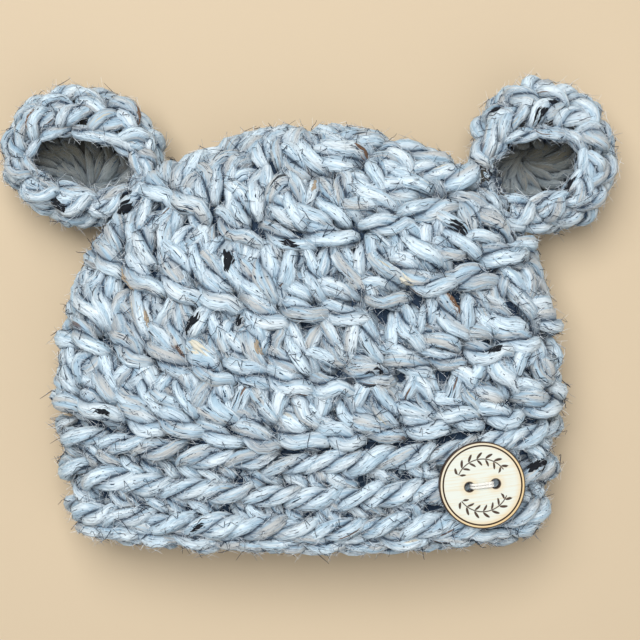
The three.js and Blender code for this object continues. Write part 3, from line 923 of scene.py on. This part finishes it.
# Slubs by their colour: where each lies, seen from above, how long it is and how thick
slubs = {
    "black": [
        (-6.9, 22.6, 5.2, 0.65), (-25.9, 17.6, 5.5, 0.95), (-36.2, 0.1, 6.0, 0.65), (-22.2, -1.1, 2.6, 0.8),
        (54.0, -8.0, 4.5, 0.8), (45.8, 26.9, 7.5, 0.8), (53.2, 63.7, 3.4, 0.7), (65.5, 59.6, 6.0, 0.3),
        (70.5, 61.3, 4.5, 0.6), (74.2, 67.1, 3.0, 0.6), (77.5, 40.0, 3.6, 0.6), (-35.8, -62.6, 3.6, 0.55),
        (-76.5, 34.4, 7.5, 1.3), (-56.5, 38.0, 5.5, 0.55), (-56.0, 33.6, 4.5, 1.0), (20.0, -14.0, 3.0, 0.6),
        (-60.0, -28.0, 3.2, 0.6), (67.2, -41.7, 4.5, 0.9),
    ],
    "brown": [
        (17.0, 50.6, 5.0, 0.5), (-86.5, 61.3, 4.5, 0.4), (-51.0, 61.0, 4.5, 0.4), (43.5, 5.3, 3.5, 0.6),
    ],
    "tan": [
        (-56.1, 11.0, 2.6, 0.5), (-49.3, -0.2, 2.8, 0.6), (-16.0, -7.9, 3.0, 0.5), (1.9, 40.4, 3.0, 0.45),
    ],
    "cream": [
        (-35.2, -8.8, 5.0, 0.9), (26.0, 9.8, 4.0, 0.8),
    ],
}


def strand_skin(groups):
    """Places on the strands' skin, with the way along the strand and the way out of it at each."""
    places, ways_along, ways_out = [], [], []
    for group in groups:
        rings = group["rings"]
        out = unit(rings - rings.mean(axis=2, keepdims=True))
        along = unit(np.gradient(rings, axis=1))
        for kept, values in ((places, rings), (ways_along, along), (ways_out, out)):
            kept.append(values[:, 1:-1].reshape(-1, 3))
    return tuple(np.concatenate(kept) for kept in (places, ways_along, ways_out))


def seen_from_above(skin):
    """The part of a skin that nothing of it lies over."""
    places, _, ways_out = skin
    tips = places + ways_out * mm
    low = places[:, :2].min(axis=0) - 5 * mm
    cell = ((places[:, :2] - low) / sight_cell).astype(int)
    heights = np.full(cell.max(axis=0) + 10, -1.0)
    np.maximum.at(heights, (cell[:, 0], cell[:, 1]), places[:, 2])
    tip_cell = ((tips[:, :2] - low) / sight_cell).astype(int)
    free = tips[:, 2] > heights[tip_cell[:, 0], tip_cell[:, 1]] - sight_slack
    return tuple(part[free] for part in skin)


def loose_material(name, colour, roughness):
    """One colour of loose wool. Its nodes and its shader come with it."""
    return new_material(name, {
        "Base Color": (*colour, 1), "Roughness": roughness, "Specular IOR Level": 0.2})


def fibres(rng, skin, count, sizes, steps):
    """Single fibres, as closed tubes, that start on the skin and leave it."""
    chosen = rng.integers(0, len(skin[0]), count)
    place, along, out = (part[chosen][:, None] for part in skin)
    side = np.cross(along, out)
    stray = rng.normal(0, sizes["stray"], (count, 1, 1))
    heading = (np.cos(stray) * along + np.sin(stray) * side) * rng.choice([-1, 1], (count, 1, 1))
    length = rng.uniform(*sizes["length"], (count, 1, 1)) * mm
    lift = np.abs(rng.normal(0, sizes["lift"], (count, 1, 1))) * mm
    curl = rng.normal(0, sizes["curl"], (count, 1, 1)) * mm
    phase = rng.uniform(0, 2 * math.pi, (count, 1, 1))
    share = np.linspace(0, 1, steps)[None, :, None]
    wave = np.sin(2 * math.pi * sizes["waves"] * share + phase) - np.sin(phase)
    risen = lift * share ** 1.5 + fibre_gap
    centres = place + heading * length * share + out * risen + side * curl * wave
    radius = sizes["thickness"] / 2 * mm * (1 - 0.5 * share) * rng.uniform(0.7, 1.3, (count, 1, 1))
    rings = tube_rings(centres, np.broadcast_to(out, centres.shape), radius[..., 0], 3)
    rings[..., 2] = np.maximum(rings[..., 2], lowest_fibre)
    lengths = (length * share)[..., 0] / mm + rng.uniform(0, 900, (count, 1))
    return {"rings": rings, "lengths": lengths}


def on_ply(skin, at, aside):
    """Values of a ply's skin at places along it and round it, counted in its rings and sides."""
    along = np.arange(len(skin))
    columns = np.array([
        np.stack([np.interp(at, along, skin[:, side, axis]) for axis in range(3)], axis=-1)
        for side in range(skin.shape[1])])
    low = np.floor(aside).astype(int)
    part = (aside - low)[:, None]
    row = np.arange(len(at))
    return columns[low % len(columns), row] * (1 - part) + columns[(low + 1) % len(columns), row] * part


def slub_bundle(rng, groups, slub, steps=9, sides=6, wisps=9):
    """A slub: a bundle of short wisps along the skin of the ply that lies highest at its place."""
    x, y, slub_length, slub_radius = slub
    wanted = np.array((x, y)) * mm
    best = (-1.0, None, None)
    for group in groups:
        rings = group["rings"]
        away = np.linalg.norm(rings[:, 2:-2, :, :2] - wanted, axis=-1)
        heights = np.where(away < slub_reach, rings[:, 2:-2, :, 2] - 0.5 * away, -1.0)
        at = np.unravel_index(np.argmax(heights), heights.shape)
        if heights[at] > best[0]:
            best = (heights[at], rings[at[0]], at)
    _, ply, (_, step, side) = best
    out = unit(ply - ply.mean(axis=1, keepdims=True))
    skin = ply + out * slub_gap
    step_length = np.linalg.norm(np.diff(skin[:, side], axis=0), axis=-1).mean()
    centres, normals = [], []
    for spread in np.linspace(0.3, 0.9, wisps):
        half = 0.5 * slub_length * mm * rng.uniform(0.6, 1.1) / step_length
        at = np.clip(step + 2 + rng.normal(0, spread) + np.linspace(-half, half, steps), 0, len(skin) - 1)
        sway = 0.3 * spread * np.sin(np.linspace(0, 6, steps) + at[0])
        aside = side + rng.normal(0, spread) * slub_radius + sway
        centres.append(on_ply(skin, at, aside))
        normals.append(unit(on_ply(out, at, aside)))
    share = np.linspace(0, 1, steps)
    thickness = slub_radius * mm * (0.1 + 0.9 * np.sin(math.pi * share) ** 0.8)
    thickness = thickness * rng.normal(1, 0.15, (wisps, steps)) * np.linspace(0.8, 0.12, wisps)[:, None]
    rings = tube_rings(np.array(centres), np.array(normals), thickness, sides)
    return {"rings": rings, "lengths": np.broadcast_to(share * slub_length, (wisps, steps))}


def loose_wool_material():
    """Loose fibres, most of them paler than the yarn and some of them grey."""
    made, tree, wool = loose_material("loose_wool", loose_colour, 1)
    grey = streaks(tree, 0.05, 0.1, 1, 0.50, 0.56, 60)
    tree.links.new(mixed(tree, grey, loose_colour, loose_grey), wool.inputs["Base Color"])
    return made


loose_wool = loose_wool_material()
dark_hair, _, _ = loose_material("dark_hair", hair_colour, 0.7)
pale_fibre = {"length": (1.2, 4.2), "thickness": 0.11, "lift": 0.8, "stray": 0.6, "curl": 0.3, "waves": 0.5}
curly_hair = {"length": (1.0, 5.2), "thickness": 0.23, "lift": 0.4, "stray": 0.7, "curl": 0.7, "waves": 1.1}
hairy_parts = (
    {"node": "crown", "groups": crown_upper, "pale": 12500, "dark": 2500},
    {"node": "brim", "groups": brim_upper, "pale": 6500, "dark": 950},
    {"node": "ear_left", "groups": ear_groups["ear_left"][:-1], "pale": 2200, "dark": 230},
    {"node": "ear_right", "groups": ear_groups["ear_right"][:-1], "pale": 2200, "dark": 230},
)
for part in hairy_parts:
    skin = seen_from_above(strand_skin(part["groups"]))
    pale_fibres = fibres(rng, skin, part["pale"], pale_fibre, 3)
    pale = tube_mesh(part["node"] + "_loose_fibres", [pale_fibres], loose_wool)
    dark_hairs = fibres(rng, skin, part["dark"], curly_hair, 7)
    dark = tube_mesh(part["node"] + "_dark_hairs", [dark_hairs], dark_hair)
    for piece in (pale, dark):
        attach(piece, "root")
        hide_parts(part["node"])

all_groups = [group for part in hairy_parts for group in part["groups"]]
slub_colours = {"black": fleck_black, "brown": fleck_brown, "tan": fleck_tan, "cream": fleck_cream}
for name, colour in slub_colours.items():
    slub_wool, _, _ = loose_material("slub_" + name, colour, 0.95)
    tubes = [slub_bundle(rng, all_groups, slub) for slub in slubs[name]]
    piece = tube_mesh("slubs_" + name, tubes, slub_wool)
    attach(piece, "root")


# The button
# A flat round button of pale birch plywood, cut and engraved by a laser, which scorched its rim, the
# edges of its two holes and the line and leaf sprigs burnt into its face. It is sewn to the ribs.
button_low, button_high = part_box("button")
button_radius = 12.7
button_thickness = 3.0
button_tilt = 4
button_turn = 7
button_corner = 0.35
ring_radius = 11.6
ring_width = 0.42
ring_depth = 0.25
hole_radius = 1.35
hole_spacing = 7.8
# How far the scorch spreads: to each side of the line, round the holes and in from the rim
ring_scorch = (0.32, 0.16)
hole_scorch = (0.42, 0.12)
hole_halo = 2.4
rim_scorch = (0.42, 0.28)
scorch = (0.045, 0.022, 0.010)
birch_pale = (0.635, 0.66, 0.59)
birch_grain = (0.62, 0.54, 0.38)
birch_warm = (0.66, 0.47, 0.22)
button_middle = (Vector(button_low) + Vector(button_high)) / 2
button_place = (
    Matrix.Translation(button_middle)
    @ Euler((0, math.radians(button_tilt), 0)).to_matrix().to_4x4()
    @ Euler((0, 0, math.radians(button_turn))).to_matrix().to_4x4()
)


def button_mesh():
    half = button_thickness / 2
    inner = ring_radius - ring_width / 2
    outer = ring_radius + ring_width / 2
    section = [
        (0, -half), (button_radius, -half), (button_radius, half), (outer, half),
        (ring_radius, half - ring_depth), (inner, half), (0, half)]
    disc = bmesh.new()
    corners = [disc.verts.new((radius * mm, 0, height * mm)) for radius, height in section]
    line = [disc.edges.new(pair) for pair in zip(corners, corners[1:])]
    bmesh.ops.spin(disc, geom=corners + line, cent=(0, 0, 0), axis=(0, 0, 1),
                   angle=2 * math.pi, steps=128, use_merge=True)
    bmesh.ops.remove_doubles(disc, verts=disc.verts, dist=1e-6)
    bmesh.ops.recalc_face_normals(disc, faces=disc.faces)
    rims = [edge for edge in disc.edges
            if all(abs(vertex.co.xy.length - button_radius * mm) < 1e-6 for vertex in edge.verts)
            and abs(edge.verts[0].co.z - edge.verts[1].co.z) < 1e-6]
    bmesh.ops.bevel(disc, geom=rims, offset=button_corner * mm, affect="EDGES",
                    segments=3, profile=0.5, material=-1)
    return disc


def drilled(disc):
    """The disc with its two holes cut by drills of their own."""
    button = placed("wooden_button", mesh_from("wooden_button", disc))
    for side in (-1, 1):
        drill = bmesh.new()
        bmesh.ops.create_cone(drill, cap_ends=True, segments=40, radius1=hole_radius * mm,
                              radius2=hole_radius * mm, depth=3 * button_thickness * mm)
        bmesh.ops.translate(drill, verts=drill.verts, vec=(side * hole_spacing / 2 * mm, 0, 0))
        bit = placed("drill", mesh_from("drill", drill))
        cut = button.modifiers.new("hole", "BOOLEAN")
        cut.operation = "DIFFERENCE"
        cut.solver = "EXACT"
        cut.object = bit
        graph = bpy.context.evaluated_depsgraph_get()
        result = bpy.data.meshes.new_from_object(button.evaluated_get(graph))
        button.modifiers.clear()
        button.data = result
        bpy.data.objects.remove(bit)
    button.data.transform(button_place)
    button.data.shade_smooth()
    button.data.set_sharp_from_angle(angle=math.radians(40))
    return button


def radius_at(tree, x, y):
    """How far a place is from the middle of a round thing."""
    squares = sums(tree, "MULTIPLY", x, x), sums(tree, "MULTIPLY", y, y)
    return sums(tree, "SQRT", sums(tree, "ADD", *squares))


sprig_radius = 7.7
sprig_half_angle = 1.06
sprig_leaves = 19
sprig_spread = 1.05
leaf_lean = 0.85
leaf_length = 2.3
leaf_width = 0.72
stem_width = 0.24


def sprig_mask(tree, x, y, radius):
    """Two sprigs of small leaves, one over the holes and one under them."""
    angle = sums(tree, "ARCTAN2", x, sums(tree, "ABSOLUTE", y))
    turns = sums(tree, "MULTIPLY", angle, sprig_leaves / (2 * math.pi))
    along = sums(tree, "SUBTRACT", turns, sums(tree, "ROUND", turns))
    along = sums(tree, "MULTIPLY", along, 2 * math.pi * sprig_radius / sprig_leaves)
    off = sums(tree, "SUBTRACT", radius, sprig_radius)
    aside = sums(tree, "SUBTRACT", sums(tree, "ABSOLUTE", off), sprig_spread)
    lengthwise = sums(tree, "ADD", sums(tree, "MULTIPLY", along, math.cos(leaf_lean)),
                      sums(tree, "MULTIPLY", aside, math.sin(leaf_lean)))
    sideways = sums(tree, "SUBTRACT", sums(tree, "MULTIPLY", aside, math.cos(leaf_lean)),
                    sums(tree, "MULTIPLY", along, math.sin(leaf_lean)))
    lengthwise = sums(tree, "DIVIDE", lengthwise, leaf_length / 2)
    sideways = sums(tree, "DIVIDE", sideways, leaf_width / 2)
    long_part = sums(tree, "MULTIPLY", lengthwise, lengthwise)
    leaf = sums(tree, "ADD", long_part, sums(tree, "MULTIPLY", sideways, sideways))
    leaf = smooth_step(tree, leaf, 1.25, 0.75)
    stem = smooth_step(tree, sums(tree, "ABSOLUTE", off), stem_width, stem_width / 3)
    window = smooth_step(tree, sums(tree, "ABSOLUTE", angle), sprig_half_angle, sprig_half_angle - 0.02)
    return sums(tree, "MULTIPLY", sums(tree, "MAXIMUM", leaf, stem), window)


def birch_material():
    made, tree, wood = new_material("scorched_birch", {"Roughness": 0.5, "Specular IOR Level": 0.35})
    place = node(tree, "ShaderNodeTexCoord")
    own = node(tree, "ShaderNodeMapping", vector_type="TEXTURE")
    own.inputs["Location"].default_value = button_middle
    own.inputs["Rotation"].default_value = button_place.to_euler()
    own.inputs["Scale"].default_value = (mm, mm, mm)
    tree.links.new(place.outputs["Object"], own.inputs["Vector"])
    split = node(tree, "ShaderNodeSeparateXYZ")
    tree.links.new(own.outputs[0], split.inputs[0])
    x, y, z = split.outputs
    radius = radius_at(tree, x, y)
    stretched = node(tree, "ShaderNodeCombineXYZ")
    tree.links.new(sums(tree, "MULTIPLY", x, 0.06), stretched.inputs["X"])
    tree.links.new(sums(tree, "MULTIPLY", y, 1.6), stretched.inputs["Y"])
    tree.links.new(z, stretched.inputs["Z"])
    grain = node(tree, "ShaderNodeTexNoise")
    grain.inputs["Scale"].default_value = 1.3
    grain.inputs["Detail"].default_value = 5
    tree.links.new(stretched.outputs[0], grain.inputs["Vector"])
    colour = mixed(tree, smooth_step(tree, grain.outputs["Fac"], 0.45, 0.8), birch_pale, birch_grain)
    ring = sums(tree, "ABSOLUTE", sums(tree, "SUBTRACT", radius, ring_radius))
    burnt = smooth_step(tree, ring, *ring_scorch)
    side_x = sums(tree, "SUBTRACT", sums(tree, "ABSOLUTE", x), hole_spacing / 2)
    hole = radius_at(tree, side_x, y)
    round_hole = smooth_step(tree, hole, hole_radius + hole_scorch[0], hole_radius + hole_scorch[1])
    burnt = sums(tree, "MAXIMUM", burnt, round_hole)
    burnt = sums(tree, "MAXIMUM", burnt, sprig_mask(tree, x, y, radius))
    halo = sums(tree, "MULTIPLY", smooth_step(tree, hole, hole_radius + hole_halo, hole_radius), 0.45)
    warmed = sums(tree, "ADD", radius, sums(tree, "MULTIPLY", sums(tree, "SUBTRACT", x, y), 0.05))
    rim_halo = smooth_step(tree, warmed, ring_radius - 1.6, button_radius + 0.4)
    rim_halo = sums(tree, "MULTIPLY", rim_halo, 0.9)
    colour = mixed(tree, sums(tree, "MAXIMUM", halo, rim_halo), colour, birch_warm)
    colour = mixed(tree, burnt, colour, scorch)
    edge = smooth_step(tree, radius, button_radius - rim_scorch[0], button_radius - rim_scorch[1])
    colour = mixed(tree, edge, colour, scorch)
    tree.links.new(colour, wood.inputs["Base Color"])
    tree.links.new(raised(tree, grain.outputs["Fac"], 0.25, 0.1 * mm), wood.inputs["Normal"])
    return made


wooden_button = drilled(button_mesh())
wooden_button.data.materials.clear()
wooden_button.data.materials.append(birch_material())
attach(wooden_button, "root")
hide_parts("button")


# The button's thread
# Two turns of white cotton thread that lie side by side over the button, from hole to hole, and go
# down through both holes into the ribs, where the real ones are knotted on the inside.
thread_ply = 0.30
thread_twist = 1.6
thread_turns = ({"aside": -0.42, "rise": 0.45}, {"aside": 0.42, "rise": 0.55})
cotton_shade = (0.60, 0.58, 0.52)
cotton_white = (0.92, 0.91, 0.87)


def thread_material():
    made, tree, cotton = new_material("cotton_thread", {"Roughness": 0.8, "Sheen Weight": 0.3})
    lines = streaks(tree, 1.2, 3, 3, 0.3, 0.7, 5)
    tree.links.new(mixed(tree, lines, cotton_shade, cotton_white), cotton.inputs["Base Color"])
    return made


thread_lines = []
for turn in thread_turns:
    half = hole_spacing / 2
    top_face = button_thickness / 2
    crest = top_face + turn["rise"]
    climb = [
        (-half + 0.7, turn["aside"] * 0.9, -button_thickness), (-half + 0.7, turn["aside"] * 0.9, 0),
        (-half + 0.9, turn["aside"], top_face - 0.2), (-half + 1.5, turn["aside"], crest),
        (-half / 3, turn["aside"], crest + 0.1)]
    places = np.array(climb + [(-x, y, z) for x, y, z in reversed(climb)]) * mm
    line = smooth_weights(len(places), 64) @ places
    thread_lines.append([button_place @ Vector(point) for point in line])
thread_lines = np.array(thread_lines)
across_thread = np.array(button_place.to_3x3() @ Vector((0, 1, 0)))
thread_normals = np.broadcast_to(across_thread, thread_lines.shape)
thread_radius = np.full((len(thread_turns), 1), thread_ply * mm)
rings, lengths, _ = two_plies(rng, thread_lines, thread_normals, thread_radius, thread_twist * mm, 8)
thread = tube_mesh("sewing_thread", [{"rings": rings, "lengths": lengths}], thread_material())
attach(thread, "root")
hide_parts("button_thread")


# The camera, the floor and the light
# The photograph looks straight down on the hat, with the crown at the top of the picture. A window
# on the crown's side gives soft light, and the surface under the hat is plain and pale.
photo_pixels = 640
pixel_at_hat = 0.305 * mm
photo_middle = (2.5 * mm, -0.8 * mm)
camera_height = 0.5
camera = placed("camera", bpy.data.cameras.new("camera"))
camera.location = (*photo_middle, camera_height)
seen = photo_pixels * pixel_at_hat
camera.data.angle = 2 * math.atan(seen / 2 / (camera_height - middle_z))
bpy.context.scene.camera = camera

floor_size = 3
floor_colour = (0.54, 0.43, 0.292, 1)
floor_grid = bmesh.new()
bmesh.ops.create_grid(floor_grid, x_segments=1, y_segments=1, size=floor_size)
floor = placed("floor", mesh_from("floor", floor_grid))
floor_finish, _, _ = new_material("plain_floor", {"Base Color": floor_colour, "Roughness": 0.7})
floor.data.materials.append(floor_finish)

# Each light: its place, its size and its power
for name, place, size, power in (
    ("window", (-0.18, 0.38, 1.09), 0.85, 17.1),
    ("fill", (0.4, -0.6, 0.9), 1.4, 5.0),
):
    lamp_data = bpy.data.lights.new(name, "AREA")
    lamp_data.size = size
    lamp_data.energy = power
    lamp = placed(name, lamp_data)
    lamp.location = place
    lamp.rotation_euler = (Vector((0, 0, 0)) - Vector(place)).to_track_quat("-Z", "Y").to_euler()

world = bpy.data.worlds.new("room")
world.use_nodes = True
world.node_tree.nodes["Background"].inputs["Color"].default_value = (0.95, 0.97, 1, 1)
world.node_tree.nodes["Background"].inputs["Strength"].default_value = 0.21
bpy.context.scene.world = world
bpy.context.scene.view_settings.view_transform = "Standard"
